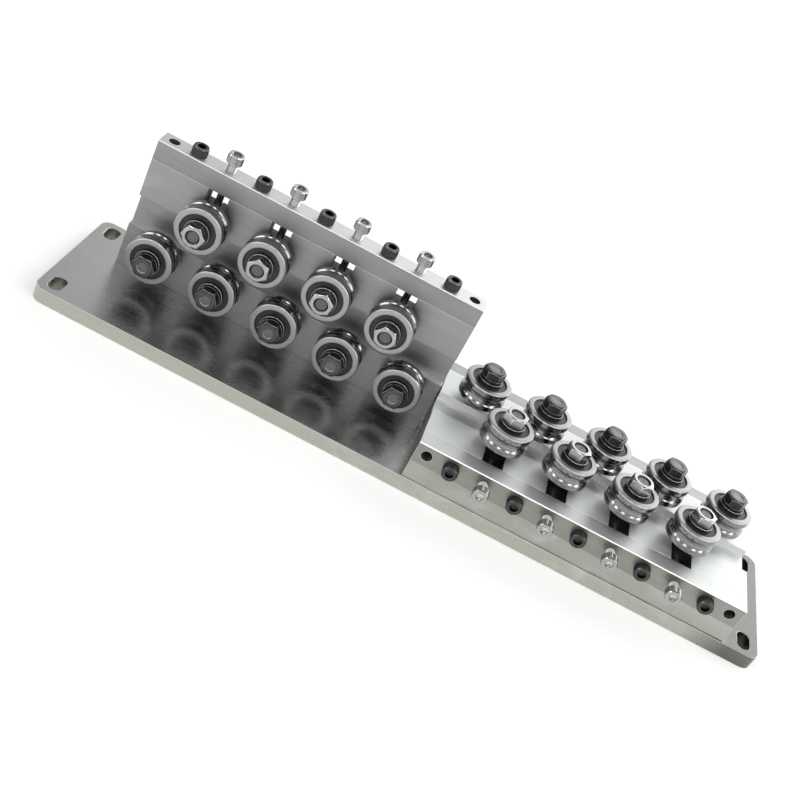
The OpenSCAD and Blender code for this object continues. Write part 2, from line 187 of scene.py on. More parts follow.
def use_group(tree, group, coordinates):
    """The outputs of a group of marks that is laid over these coordinates."""
    node = tree.nodes.new("ShaderNodeGroup")
    node.node_tree = group
    tree.links.new(coordinates, node.inputs["Coordinates"])
    return node.outputs


def tint(tree, share, under, over):
    """One colour laid over another as far as the share says. Each of the two is a colour or a socket."""
    node = tree.nodes.new("ShaderNodeMix")
    node.data_type = "RGBA"
    tree.links.new(share, node.inputs["Factor"])
    for socket, colour in ((node.inputs[6], under), (node.inputs[7], over)):
        if isinstance(colour, tuple):
            socket.default_value = (*colour, 1)
        else:
            tree.links.new(colour, socket)
    return node.outputs[2]


def bumped(tree, surface, height, distance):
    """Gives a surface this relief. A height of 1 stands as many metres proud as the distance says."""
    bump = tree.nodes.new("ShaderNodeBump")
    bump.inputs["Strength"].default_value = 1
    bump.inputs["Distance"].default_value = distance
    tree.links.new(height, bump.inputs["Height"])
    tree.links.new(bump.outputs[0], surface.inputs["Normal"])


def held_in_mesh(tree, name):
    """The share of wear and painted light, or of painted shade in slots and bores, that a piece's own mesh
    holds.
    """
    attribute = tree.nodes.new("ShaderNodeAttribute")
    attribute.attribute_name = name
    return attribute.outputs["Fac"]


def ground_steel(name, top, side, roughness, marks, edges, slot_shade=1.0, end_shade_from=None):
    """Surface-ground steel. Top is the colour of faces that look up, and side that of the others; the two
    are painted light and shade, set to how bright tops and sides look under this light. Marks says how
    much use has marked it, edges how bright its broken edges and the painted light in the wire's channel
    are, and slot_shade how far painted shade darkens its slots and bores. Past a given point along X
    painted shade darkens it."""
    fresh_cut = (0.9, 0.9, 0.9)
    wiped_clean = (0.8, 0.8, 0.79)
    dirt = (0.12, 0.1, 0.07)
    end_shade_colour = (0.1, 0.1, 0.095)
    bare_edge_and_light = (0.92, 0.92, 0.91)
    recess_shade = (0.05, 0.05, 0.045)
    band_share = 0.08
    smear_share = 0.3
    speck_share = 0.4
    end_shade_fade = 0.03
    end_shade_share = 0.86
    uneven_by = 0.03
    smear_roughness = 0.14
    scratch_roughness = 0.15
    oil_roughness = 0.2
    scratch_depth = 1.5
    relief_height = 0.0000011
    material, tree, surface, place = start_material(name, 1.0, roughness)
    grinding = use_group(tree, grinding_marks, place)
    handling = use_group(tree, handling_marks, place)
    geometry = tree.nodes.new("ShaderNodeNewGeometry")
    facing = tree.nodes.new("ShaderNodeSeparateXYZ")
    tree.links.new(geometry.outputs["Normal"], facing.inputs[0])
    # Painted light and shade: faces that look up take the top colour, and the others the side colour.
    top_light_share = between(tree, facing.outputs["Z"], 0.2, 0.8)
    lit_and_shaded = tint(tree, top_light_share, side, top)
    lines = arithmetic(tree, "MULTIPLY", grinding["Bands"], band_share)
    smears = arithmetic(tree, "MULTIPLY", handling["Smears"], smear_share * marks)
    specks = arithmetic(tree, "MULTIPLY", handling["Specks"], speck_share * marks)
    wiped = tint(tree, smears, tint(tree, lines, lit_and_shaded, fresh_cut), wiped_clean)
    used = tint(tree, specks, wiped, dirt)
    # Painted shade: from the given point along X the colour fades into a dark tone.
    if end_shade_from:
        along = tree.nodes.new("ShaderNodeSeparateXYZ")
        tree.links.new(place, along.inputs[0])
        end_shade = between(tree, along.outputs["X"], end_shade_from, end_shade_from + end_shade_fade, 0, end_shade_share)
        used = tint(tree, end_shade, used, end_shade_colour)
    # Broken edges are bared by wear, and faces in the wire's channel take the same bright colour as
    # painted light.
    bared_and_lit = arithmetic(tree, "MULTIPLY", held_in_mesh(tree, "wear_and_light"), edges)
    edged_and_lit = tint(tree, bared_and_lit, used, bare_edge_and_light)
    # Painted shade darkens faces in slots and bores.
    recess_shade_share = arithmetic(tree, "MULTIPLY", held_in_mesh(tree, "recess"), slot_shade)
    tree.links.new(tint(tree, recess_shade_share, edged_and_lit, recess_shade), surface.inputs["Base Color"])
    marked = arithmetic(
        tree, "ADD", arithmetic(tree, "MULTIPLY", handling["Smears"], smear_roughness * marks),
        arithmetic(tree, "MULTIPLY", handling["Scratches"], scratch_roughness))
    banded = between(tree, grinding["Bands"], 0, 1, roughness - uneven_by, roughness + uneven_by)
    uneven = arithmetic(tree, "ADD", arithmetic(tree, "ADD", banded, marked),
                        arithmetic(tree, "MULTIPLY", recess_shade_share, oil_roughness))
    tree.links.new(uneven, surface.inputs["Roughness"])
    relief = arithmetic(tree, "SUBTRACT", grinding["Height"],
                        arithmetic(tree, "MULTIPLY", handling["Scratches"], scratch_depth))
    bumped(tree, surface, relief, relief_height)
    return material


def break_edges(bm, width, segments=2, least_turn=0.6, chosen=None):
    """Takes the sharpness off the chosen edges, or off all that turn by more, and marks them as worn."""
    wear_and_light = bm.faces.layers.float.get("wear_and_light") or bm.faces.layers.float.new("wear_and_light")
    sharp = chosen or [edge for edge in bm.edges if edge.calc_face_angle() > least_turn]
    made = bmesh.ops.bevel(bm, geom=sharp, affect="EDGES", offset=width, offset_type="OFFSET",
                           segments=segments, profile=0.5, material=-1, clamp_overlap=False)
    for face in made["faces"]:
        face[wear_and_light] = 1


smooth_turn = math.radians(14)


def finish_piece(bm, name, body, slot, materials, *nodes):
    """Makes a mesh into a piece that rides on a body and stands for these nodes. Its faces run smoothly
    into each other where they turn by no more than smooth_turn."""
    bmesh.ops.recalc_face_normals(bm, faces=bm.faces)
    mesh = bpy.data.meshes.new(name)
    bm.to_mesh(mesh)
    bm.free()
    mesh.shade_smooth()
    mesh.set_sharp_from_angle(angle=smooth_turn)
    for material in materials:
        mesh.materials.append(material)
    piece = bpy.data.objects.new(name, mesh)
    scene.collection.objects.link(piece)
    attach(piece, body)
    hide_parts(*nodes)


same_point = 0.000002
flat_turn = 0.01
corner_turn = 0.9
chamfer_slants = (0.6, 0.8)
chamfer_width = 0.0003
off_face = 0.00001
slot_reach = 0.016
channel_reach = 0.022


def with_broken_edges(node, width):
    """A copy of a node's mesh, merged to whole faces, with its edges broken. Of the faces that look up at
    a slant, only the wide ones are marked with wear, which are the node's own chamfers. A face that has
    another one close in front of it lies in a slot or a bore, and is marked for painted shade. One that
    has it a little further off lies in the wire's channel, and takes the bright colour of broken edges as
    painted light."""
    bm = bmesh.new()
    bm.from_mesh(frame["nodes"][node].data)
    bmesh.ops.remove_doubles(bm, verts=bm.verts, dist=same_point)
    bmesh.ops.dissolve_limit(bm, angle_limit=flat_turn, verts=bm.verts, edges=bm.edges,
                             use_dissolve_boundaries=False)
    break_edges(bm, width, least_turn=corner_turn)
    wear_and_light = bm.faces.layers.float["wear_and_light"]
    recess = bm.faces.layers.float.new("recess")
    solid = BVHTree.FromBMesh(bm)
    for face in bm.faces:
        wide = face.calc_area() > chamfer_width * max(edge.calc_length() for edge in face.edges)
        if chamfer_slants[0] < face.normal.z < chamfer_slants[1]:
            face[wear_and_light] = 1 if wide else 0
        start = face.calc_center_median() + face.normal * off_face
        distance = solid.ray_cast(start, face.normal, channel_reach)[3]
        # Painted shade: faces in slots and bores are marked for darkening.
        if distance and distance < slot_reach:
            face[recess] = 1
        # Painted light: faces in the wire's channel get the bright colour of broken edges.
        elif distance:
            face[wear_and_light] = 1
    return bm


plate_edge = 0.0003
# From here along X painted shade darkens the base plate.
right_end_from = 0.19
base_steel = ground_steel("base_steel", (0.48, 0.48, 0.475), (0.43, 0.432, 0.385), 0.27, marks=1.0,
                          edges=0.5, slot_shade=0.1, end_shade_from=right_end_from)
finish_piece(with_broken_edges("base_plate", plate_edge), "ground_base_plate", "frame", "ground_steel",
             [base_steel], "base_plate")


# Riser plate and rear rail: ground steel bars under and behind the flat unit. They lift its wire to the
# height of the upright unit's, and are screwed down from below.
riser_steel = ground_steel("riser_steel", (0.26, 0.26, 0.256), (0.36, 0.36, 0.32), 0.3, marks=0.7,
                           edges=0.2)
bar_edge = plate_edge / 2
for node in ("riser_plate", "rear_rail"):
    finish_piece(with_broken_edges(node, bar_edge), "ground_" + node, "frame", "ground_steel",
                 [riser_steel], node)


# Roller plates and adjusting bars: ground and lightly polished steel. A plate carries the axles of one
# unit and has four guide slots. The bar closes these slots and is screwed to the plate's edge.
upright_plate_steel = ground_steel("upright_plate_steel", (0.67, 0.67, 0.67), (0.3, 0.3, 0.3), 0.45,
                                   marks=0.4, edges=0.1)
upright_bar_steel = ground_steel("upright_bar_steel", (0.67, 0.67, 0.67), (0.25, 0.25, 0.25), 0.45,
                                 marks=0.4, edges=0.1, slot_shade=0.2)
flat_plate_steel = ground_steel("flat_plate_steel", (0.73, 0.756, 0.747), (0.3, 0.304, 0.27), 0.55,
                                marks=0.3, edges=0.7)
flat_bar_steel = ground_steel("flat_bar_steel", (0.57, 0.589, 0.583), (0.25, 0.253, 0.225), 0.42,
                              marks=0.3, edges=0.8, slot_shade=0.2)
for node, steel in (("upright_roller_plate", upright_plate_steel),
                    ("upright_adjusting_bar", upright_bar_steel),
                    ("flat_roller_plate", flat_plate_steel),
                    ("flat_adjusting_bar", flat_bar_steel)):
    finish_piece(with_broken_edges(node, bar_edge), "ground_" + node, "frame", "ground_steel", [steel],
                 node)


# Foot screws: black socket-head screws under the base plate. Short ones hold the upright plate and the
# rear rail, long ones reach through the riser plate into the flat plate.
def make_turning_marks():
    """Fine rings that turning or grinding leaves round a piece's own axis."""
    group, start, end = group_with("turning_marks", "Height", "Bands")
    parts = group.nodes.new("ShaderNodeSeparateXYZ")
    group.links.new(start.outputs[0], parts.inputs[0])
    squares = [arithmetic(group, "MULTIPLY", parts.outputs[i], parts.outputs[i]) for i in (0, 1)]
    radius = arithmetic(group, "SQRT", arithmetic(group, "ADD", *squares), 0)
    joined = group.nodes.new("ShaderNodeCombineXYZ")
    group.links.new(radius, joined.inputs[0])
    group.links.new(parts.outputs[2], joined.inputs[1])
    lines = noise(group, joined.outputs[0], scale=5200, detail=3, roughness=0.6)
    bands = noise(group, joined.outputs[0], scale=900, detail=2, roughness=0.5)
    group.links.new(lines, end.inputs["Height"])
    group.links.new(between(group, bands, 0.3, 0.7), end.inputs["Bands"])
    return group


def make_fine_grain():
    """Small even grain of a plated, blackened or moulded surface, and soft larger clouds."""
    group, start, end = group_with("fine_grain", "Height", "Clouds")
    grain = noise(group, start.outputs[0], scale=3800, detail=3, roughness=0.6)
    clouds = noise(group, start.outputs[0], scale=330, detail=3, roughness=0.5)
    group.links.new(grain, end.inputs["Height"])
    group.links.new(between(group, clouds, 0.3, 0.7), end.inputs["Clouds"])
    return group


turning_marks = make_turning_marks()
fine_grain = make_fine_grain()


def own_place(tree):
    """Where a point lies round the axis of its own part, which the mesh holds for each point."""
    attribute = tree.nodes.new("ShaderNodeAttribute")
    attribute.attribute_name = "own_place"
    return attribute.outputs["Vector"]


def blackened_steel(name, colour, edge_and_light_colour, roughness):
    """Satin black oxide, thin and grey where edges are rubbed."""
    cloud_share = 0.04
    edge_wear_and_light_share = 0.7
    smoother = 0.05
    rougher = 0.07
    grain_height = 0.000006
    material, tree, surface, place = start_material(name, 1.0, roughness)
    grain = use_group(tree, fine_grain, place)
    clouded = tint(tree, arithmetic(tree, "MULTIPLY", grain["Clouds"], cloud_share), colour, edge_and_light_colour)
    edge_wear_and_light = arithmetic(tree, "MULTIPLY", held_in_mesh(tree, "wear_and_light"), edge_wear_and_light_share)
    tree.links.new(tint(tree, edge_wear_and_light, clouded, edge_and_light_colour), surface.inputs["Base Color"])
    tree.links.new(between(tree, grain["Clouds"], 0, 1, roughness - smoother, roughness + rougher),
                   surface.inputs["Roughness"])
    bumped(tree, surface, grain["Height"], grain_height)
    return material


black_oxide = blackened_steel("black_oxide", (0.045, 0.045, 0.046), (0.4, 0.4, 0.4), 0.3)
for node in ("short_foot_screws", "long_foot_screws"):
    frame["nodes"][node].material_slots[0].material = black_oxide


# Spacers and inner rings: turned rings on the axle bolts. A spacer holds each fixed roller off its plate,
# and the inner ring of its bearing is clamped between spacer and washer.
def bright_steel(name, colour, edge_and_light_colour, roughness, ring_height, on_own_axis=True):
    """Turned or plated steel that shines, with rings round its own axis, rubbed edges and painted light
    where a piece marks them, and painted shade in its recesses.
    """
    recess_shade = (0.05, 0.05, 0.048)
    ring_share = 0.2
    edge_wear_and_light_share = 0.8
    smoother = 0.04
    rougher = 0.05
    material, tree, surface, place = start_material(name, 1.0, roughness)
    rings = use_group(tree, turning_marks, own_place(tree) if on_own_axis else place)
    grain = use_group(tree, fine_grain, place)
    ringed = tint(tree, arithmetic(tree, "MULTIPLY", rings["Bands"], ring_share), colour, edge_and_light_colour)
    edge_wear_and_light = arithmetic(tree, "MULTIPLY", held_in_mesh(tree, "wear_and_light"), edge_wear_and_light_share)
    edged_and_lit = tint(tree, edge_wear_and_light, ringed, edge_and_light_colour)
    # Painted shade darkens faces in recesses.
    tree.links.new(tint(tree, held_in_mesh(tree, "recess"), edged_and_lit, recess_shade), surface.inputs["Base Color"])
    uneven = arithmetic(tree, "ADD", rings["Bands"], grain["Clouds"])
    tree.links.new(between(tree, uneven, 0, 2, roughness - smoother, roughness + rougher),
                   surface.inputs["Roughness"])
    bumped(tree, surface, arithmetic(tree, "ADD", rings["Height"], grain["Height"]), ring_height)
    return material


plain_zinc = bright_steel("plain_zinc", (0.36, 0.36, 0.36), (0.85, 0.85, 0.85), 0.22, 0.000002,
                          on_own_axis=False)
plain_ring = bright_steel("plain_ring", (0.3, 0.3, 0.296), (0.7, 0.7, 0.69), 0.3, 0.000002,
                          on_own_axis=False)
frame["nodes"]["fixed_axle_spacers"].material_slots[0].material = plain_zinc
frame["nodes"]["fixed_inner_rings"].material_slots[0].material = plain_ring


# Rollers: hardened ball bearings whose outer rings have a round groove for the wire in their rims. Each
# has a seal on both sides and eight balls inside. Rims are polished by the wire, faces are left as ground.
mm = 0.001
axis_of = {joint["child"]: (Vector(joint["pos_m"]), Vector(joint["axis"]))
           for joint in frame["joints"] if joint["type"] == "hinge"}


def standing_at(centre, axis):
    """The place of a part that was drawn round Z, in millimetres."""
    turn = Vector((0, 0, 1)).rotation_difference(axis).to_matrix().to_4x4()
    return Matrix.Translation(centre) @ turn @ Matrix.Scale(mm, 4)


def gathered(parts, *places):
    """One mesh of all these parts, which were drawn round Z in millimetres, at each of the places."""
    whole = bmesh.new()
    for place in places:
        for part in parts:
            copied = part.copy()
            own = copied.verts.layers.float_vector.new("own_place")
            for point in copied.verts:
                point[own] = point.co * mm
            bmesh.ops.transform(copied, matrix=place, verts=copied.verts)
            mesh = bpy.data.meshes.new("part")
            copied.to_mesh(mesh)
            copied.free()
            whole.from_mesh(mesh)
            bpy.data.meshes.remove(mesh)
    return whole


def turned(outline, segments, closed=True):
    """A part turned round Z from an outline of radii and heights. A closed outline runs on from its last
    point to its first."""
    bm = bmesh.new()
    points = [bm.verts.new((radius, 0, height)) for radius, height in outline]
    ends = points[1:] + points[:1] if closed else points[1:]
    edges = [bm.edges.new(pair) for pair in zip(points, ends)]
    bmesh.ops.spin(bm, geom=points + edges, cent=(0, 0, 0), axis=(0, 0, 1), angle=2 * math.pi,
                   steps=segments, use_merge=True)
    bmesh.ops.remove_doubles(bm, verts=bm.verts, dist=0.0001)
    bmesh.ops.recalc_face_normals(bm, faces=bm.faces)
    return bm


def arc(centre, radius, start, end, steps):
    """Points of radius and height along a round stretch of an outline."""
    turns = [start + (end - start) * i / steps for i in range(steps + 1)]
    return [(centre[0] + radius * math.cos(turn), centre[1] + radius * math.sin(turn)) for turn in turns]


low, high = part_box("upright_fixed_roller_1")
rim_r = (high.x - low.x) / 2 / mm
half_w = (high.y - low.y) / 2 / mm
bore_r = 11.5
inner_ring_r = 6.5
groove_r = 4
groove_depth = 1.5
groove_steps = 14
race_steps = 8
rim_edge = 0.6
polish_margin = 0.1
ring_edge = 0.15
ring_rub = 0.2
ball_count = 8
ball_r = 2.8
ball_path_r = 9
ball_room = 0.05
seal_fit = 0.06
seal_recess = 0.6
seal_t = 1
bead_w = 0.5
bead_h = 0.18
bead_slant = 0.12
bead_edge = 0.1
lip_w = 0.8
lip_slant = 0.15
lip_recess = 0.35
lip_edge = 0.1
ring_segments = 120


def outer_ring():
    """The outer ring. Its rim and groove are polished, and its sides are left as ground."""
    groove_centre = (rim_r + groove_r - groove_depth, 0)
    half_turn = math.acos((groove_r - groove_depth) / groove_r)
    groove = arc(groove_centre, groove_r, math.pi + half_turn, math.pi - half_turn, groove_steps)
    race_r = ball_r + ball_room
    race_turn = math.acos((bore_r - ball_path_r) / race_r)
    race = arc((ball_path_r, 0), race_r, race_turn, -race_turn, race_steps)
    upper = [(rim_r, half_w - rim_edge), (rim_r - rim_edge, half_w), (bore_r, half_w)]
    lower = [(radius, -height) for radius, height in reversed(upper)]
    bm = turned(groove + upper + race + lower, ring_segments)
    polished_from = rim_r - groove_depth - polish_margin
    for face in bm.faces:
        middle = face.calc_center_median()
        polished = abs(middle.z) < half_w - rim_edge and middle.xy.length > polished_from
        face.material_index = 1 if polished else 0
    break_edges(bm, ring_edge, least_turn=0.5)
    wear_and_light = bm.faces.layers.float["wear_and_light"]
    for face in bm.faces:
        face[wear_and_light] *= ring_rub
    return bm


def seals():
    """Both seals: a flat rubber ring with a raised bead outside and a thinner lip inside."""
    outside = bore_r - seal_fit
    inside = inner_ring_r + seal_fit
    front = half_w - seal_recess
    back = front - seal_t
    outline = [(outside, back), (outside, front - bead_edge), (outside - bead_slant, front),
               (outside - bead_w, front), (outside - bead_w - bead_slant, front - bead_h),
               (inside + lip_w + lip_slant, front - bead_h), (inside + lip_w, front - lip_recess),
               (inside, front - lip_recess - lip_edge), (inside, back)]
    one = turned(outline, ring_segments)
    other = one.copy()
    bmesh.ops.transform(other, matrix=Matrix.Rotation(math.pi, 4, "X"), verts=other.verts)
    return [one, other]


def balls():
    """The balls of one roller, in a ring."""
    bm = bmesh.new()
    for i in range(1, ball_count + 1):
        turn = math.radians(360 / ball_count * i)
        centre = Matrix.Translation((ball_path_r * math.cos(turn), ball_path_r * math.sin(turn), 0))
        bmesh.ops.create_icosphere(bm, subdivisions=3, radius=ball_r, matrix=centre)
    return bm


def seal_rubber_material():
    """Black rubber with the fine grain of its mould."""
    dark = (0.01, 0.01, 0.011)
    pale = (0.02, 0.02, 0.021)
    roughness = 0.42
    smoother = 0.06
    rougher = 0.08
    grain_height = 0.000012
    material, tree, surface, place = start_material("seal_rubber", 0.0, roughness)
    grain = use_group(tree, fine_grain, place)
    tree.links.new(tint(tree, grain["Clouds"], dark, pale), surface.inputs["Base Color"])
    tree.links.new(between(tree, grain["Clouds"], 0, 1, roughness - smoother, roughness + rougher),
                   surface.inputs["Roughness"])
    bumped(tree, surface, grain["Height"], grain_height)
    return material


ring_face_steel = bright_steel("ring_face_steel", (0.28, 0.28, 0.277), (0.7, 0.7, 0.69), 0.34, 0.000002)
ring_rim_steel = bright_steel("ring_rim_steel", (0.21, 0.21, 0.208), (0.5, 0.5, 0.49), 0.15, 0.0000005)
seal_rubber = seal_rubber_material()
ring_shape = outer_ring()
seal_shapes = seals()
ball_shape = balls()
rollers = [f"{unit}_{kind}_roller_{i}" for unit in ("upright", "flat")
           for kind, count in (("fixed", 5), ("adjust", 4)) for i in range(1, count + 1)]
for roller in rollers:
    place = standing_at(*axis_of[roller])
    finish_piece(gathered([ring_shape], place), roller + "_outer_ring", roller, "roller_steel",
                 [ring_face_steel, ring_rim_steel], roller)
    finish_piece(gathered(seal_shapes, place), roller + "_seals", roller, "seal_rubber", [seal_rubber],
                 roller)
    finish_piece(gathered([ball_shape], place), roller + "_balls", roller, "roller_steel",
                 [ring_rim_steel], roller)


# Fixed axles: black hex bolts screwed into the plate, each over a plain washer and a split lock washer.
# Their heads are forged and turned off at the corners, and all three are blackened.
washer_r = 8
washer_t = 1.6
washer_edge = 0.3
washer_segments = 64
lock_washer_r = 7.2
lock_washer_t = 2
lock_washer_edge = 0.15
lock_split = 1.2
lock_washer_segments = 60
axle_r = 4
axle_pitch = 1.25
axle_segments = 48
fit = 0.02
hex_af = 13
bolt_head_h = 5.3
head_flat_r = 5.7
dish_r = 3.5
dish_depth = 0.4
dish_rub = 0.45
dish_wall_rub = 0.5
end_rub = 0.2
bolt_reach = 12
standoff = 12.5
head_edge = 0.18
facing_up = 0.99
hex_segments = 72


def washer():
    """A plain washer with rounded edges."""
    outline = [(axle_r, 0), (washer_r, 0), (washer_r, washer_t), (axle_r, washer_t)]
    bm = turned(outline, washer_segments)
    break_edges(bm, washer_edge, segments=3)
    return bm


def lock_washer():
    """A ring of square section with a split, whose ends stand apart."""
    bm = bmesh.new()
    corners = [(axle_r, 0), (lock_washer_r, 0), (lock_washer_r, lock_washer_t), (axle_r, lock_washer_t)]
    gap = lock_split / (axle_r + lock_washer_r) * 2
    section = bm.faces.new([bm.verts.new((radius, 0, height)) for radius, height in corners])
    bmesh.ops.rotate(bm, verts=bm.verts, cent=(0, 0, 0), matrix=Matrix.Rotation(gap / 2, 3, "Z"))
    bmesh.ops.spin(bm, geom=[section], cent=(0, 0, 0), axis=(0, 0, 1), angle=2 * math.pi - gap,
                   steps=lock_washer_segments)
    bmesh.ops.recalc_face_normals(bm, faces=bm.faces)
    break_edges(bm, lock_washer_edge)
    return bm


def skinned(segments, loops, capped=True):
    """A part whose skin runs over loops of points: each loop is a radius and a height, or functions of the
    angle. A capped part is filled at both ends, and any other runs from its last loop to its first."""
    bm = turned([(1, i) for i in range(len(loops))], segments, not capped)
    level = bm.verts.layers.int.new("level")
    for point in bm.verts:
        point[level] = round(point.co.z)
        turn = math.atan2(point.co.y, point.co.x)
        radius, height = [value(turn) if callable(value) else value for value in loops[point[level]]]
        point.co = (radius * math.cos(turn), radius * math.sin(turn), height)
    if capped:
        bmesh.ops.edgeloop_fill(bm, edges=[edge for edge in bm.edges if edge.is_boundary])
    bmesh.ops.recalc_face_normals(bm, faces=bm.faces)
    return bm


def hex_edges(bm, *levels):
    """The edges that run round these levels of a skinned hexagon, and its upright corners between them."""
    level = bm.verts.layers.int["level"]
    least_turn = 0.6
    chosen = []
    for edge in bm.edges:
        ends = {point[level] for point in edge.verts}
        if ends <= set(levels) and (len(ends) == 1 or edge.calc_face_angle() > least_turn):
            chosen.append(edge)
    return chosen


def hexagon(across_flats):
    """The radius of a hexagon at an angle, with a corner on X."""
    return lambda turn: across_flats / 2 / math.cos(turn % (math.pi / 3) - math.pi / 6)


def turned_off(across_flats, height, flat_r):
    """The height of a hexagon's top edge at an angle, where it is turned off outside the radius flat_r."""
    fall = 0.42
    outline = hexagon(across_flats)
    return lambda turn: height - fall * (outline(turn) - flat_r)


def thread(radius, pitch, bottom, top, segments=24):
    """A screw thread: its two flanks are swept up a helix and cut flat at both ends. Its depth, the ends
    of its crest and how far below the cut it starts are shares of its pitch."""
    depth_share = 0.6
    crest_from = 0.42
    crest_to = 0.58
    start_below = 1.13
    cut_margin = 0.0001
    bm = bmesh.new()
    root_r = radius - depth_share * pitch
    flank = [(root_r, 0), (radius, crest_from * pitch), (radius, crest_to * pitch), (root_r, pitch)]
    points = [bm.verts.new((r, 0, bottom - start_below * pitch + height)) for r, height in flank]
    edges = [bm.edges.new(pair) for pair in zip(points, points[1:])]
    turns = math.ceil((top - bottom) / pitch) + 2
    bmesh.ops.spin(bm, geom=points + edges, cent=(0, 0, 0), axis=(0, 0, 1), angle=2 * math.pi * turns,
                   steps=segments * turns, dvec=(0, 0, pitch / segments))
    bmesh.ops.remove_doubles(bm, verts=bm.verts, dist=0.001)
    for height, outwards in ((bottom, -1), (top, 1)):
        bmesh.ops.bisect_plane(bm, geom=bm.verts[:] + bm.edges[:] + bm.faces[:], dist=cut_margin,
                               plane_co=(0, 0, height), plane_no=(0, 0, outwards), clear_outer=True)
        bmesh.ops.edgeloop_fill(bm, edges=[edge for edge in bm.edges if edge.is_boundary and all(
            abs(point.co.z - height) < cut_margin for point in edge.verts)])
    bmesh.ops.recalc_face_normals(bm, faces=bm.faces)
    return bm


def hex_head():
    """A hex head whose top is turned off round, with the shallow dish that forging leaves in it."""
    loops = [(hexagon(hex_af), 0), (hexagon(hex_af), turned_off(hex_af, bolt_head_h, head_flat_r)),
             (head_flat_r, bolt_head_h), (dish_r, bolt_head_h),
             (dish_r - dish_depth, bolt_head_h - dish_depth)]
    bm = skinned(hex_segments, loops)
    break_edges(bm, head_edge, chosen=hex_edges(bm, 0, 1))
    wear_and_light = bm.faces.layers.float["wear_and_light"]
    for face in bm.faces:
        from_axis = face.calc_center_median().xy.length
        if dish_r - dish_depth < from_axis < dish_r:
            face[wear_and_light] = dish_wall_rub
        elif face.normal.z > facing_up:
            face[wear_and_light] = dish_rub if from_axis < dish_r else end_rub
    return bm


def shifted(part, height):
    """The same part, moved up by this height."""
    bmesh.ops.translate(part, vec=(0, 0, height), verts=part.verts)
    return part


fixed_rollers = [roller for roller in rollers if "fixed" in roller]
under_head = half_w + washer_t + lock_washer_t
axle_shank = turned([(0, -standoff), (axle_r - fit, -standoff), (axle_r - fit, under_head),
                     (0, under_head)], axle_segments, closed=False)
bolt_parts = [shifted(hex_head(), under_head), axle_shank,
              thread(axle_r - fit, axle_pitch, -standoff - bolt_reach, -standoff)]
washer_shape = shifted(washer(), half_w)
lock_washer_shape = shifted(lock_washer(), half_w + washer_t)
places = [standing_at(*axis_of[roller]) for roller in fixed_rollers]
finish_piece(gathered(bolt_parts, *places), "axle_bolts", "frame", "black_oxide", [black_oxide],
             "fixed_axle_bolts")
finish_piece(gathered([washer_shape], *places), "axle_washers", "frame", "black_oxide", [black_oxide],
             "fixed_axle_washers")
finish_piece(gathered([lock_washer_shape], *places), "axle_lock_washers", "frame", "black_oxide",
             [black_oxide], "fixed_axle_lock_washers")


# Sliding blocks: ground steel blocks that run in the guide slots on two tongues, coloured near black as
# painted shade for the slots. Each carries a stud, and its T-slot holds the button of an adjusting screw.
slot_shade_black = (0.025, 0.025, 0.024)
block_steel = ground_steel("block_steel", slot_shade_black, slot_shade_black, 0.5, marks=0.1, edges=0.2)
adjustable = [f"{unit}_{{}}_{i}" for unit in ("upright", "flat") for i in range(1, 5)]
for pattern in adjustable:
    frame["nodes"][pattern.format("sliding_block")].material_slots[0].material = block_steel


# Studs of the adjustable rollers: shouldered steel studs, each with the inner ring of its bearing, a dark
# washer and a bright hex nut. The stud's threaded end stays a little below the nut's face.
nut_h = 6.5
nut_flat_r = 6.1
nut_gap = 0.02
nut_turns = [8, 40, 22, 50, 15, 44, 31, 5]
stud_short = 0.8
stud_edge = 0.4
tip_step = 0.1
tip_edge = 0.15
centre_mark_r = 0.9
centre_mark_depth = 0.35
tail_r = 2.98
block_back = 14.25
block_front = 0.25
collar_r = 6
collar_edge = 0.12
countersink = 0.6


def stud():
    """Tail in the block, collar against the roller, plain journal and threaded end."""
    face = half_w + nut_gap + washer_t + nut_gap
    end = face + nut_h - stud_short
    body = turned([(0, -standoff - block_back), (tail_r, -standoff - block_back),
                   (tail_r, -standoff - block_front), (collar_r, -standoff - block_front),
                   (collar_r, -half_w - nut_gap), (axle_r - fit, -half_w - nut_gap),
                   (axle_r - fit, face), (0, face)], axle_segments, closed=False)
    break_edges(body, collar_edge)
    tip_start = end - stud_edge
    tip = turned([(0, tip_start), (axle_r - tip_step, tip_start), (axle_r - stud_edge, end - tip_step),
                  (axle_r - stud_edge - tip_edge, end), (centre_mark_r, end),
                  (0, end - centre_mark_depth)], axle_segments, closed=False)
    return [body, thread(axle_r - fit, axle_pitch, face, tip_start), tip]


def inner_ring():
    """The inner ring of a bearing, with the race that its balls run in."""
    race_r = ball_r + ball_room
    race_turn = math.acos((ball_path_r - inner_ring_r) / race_r)
    race = arc((ball_path_r, 0), race_r, math.pi + race_turn, math.pi - race_turn, race_steps)
    outline = [(axle_r, half_w), (axle_r, -half_w), (inner_ring_r, -half_w), *race, (inner_ring_r, half_w)]
    bm = turned(outline, washer_segments)
    break_edges(bm, ring_edge, least_turn=corner_turn)
    return bm


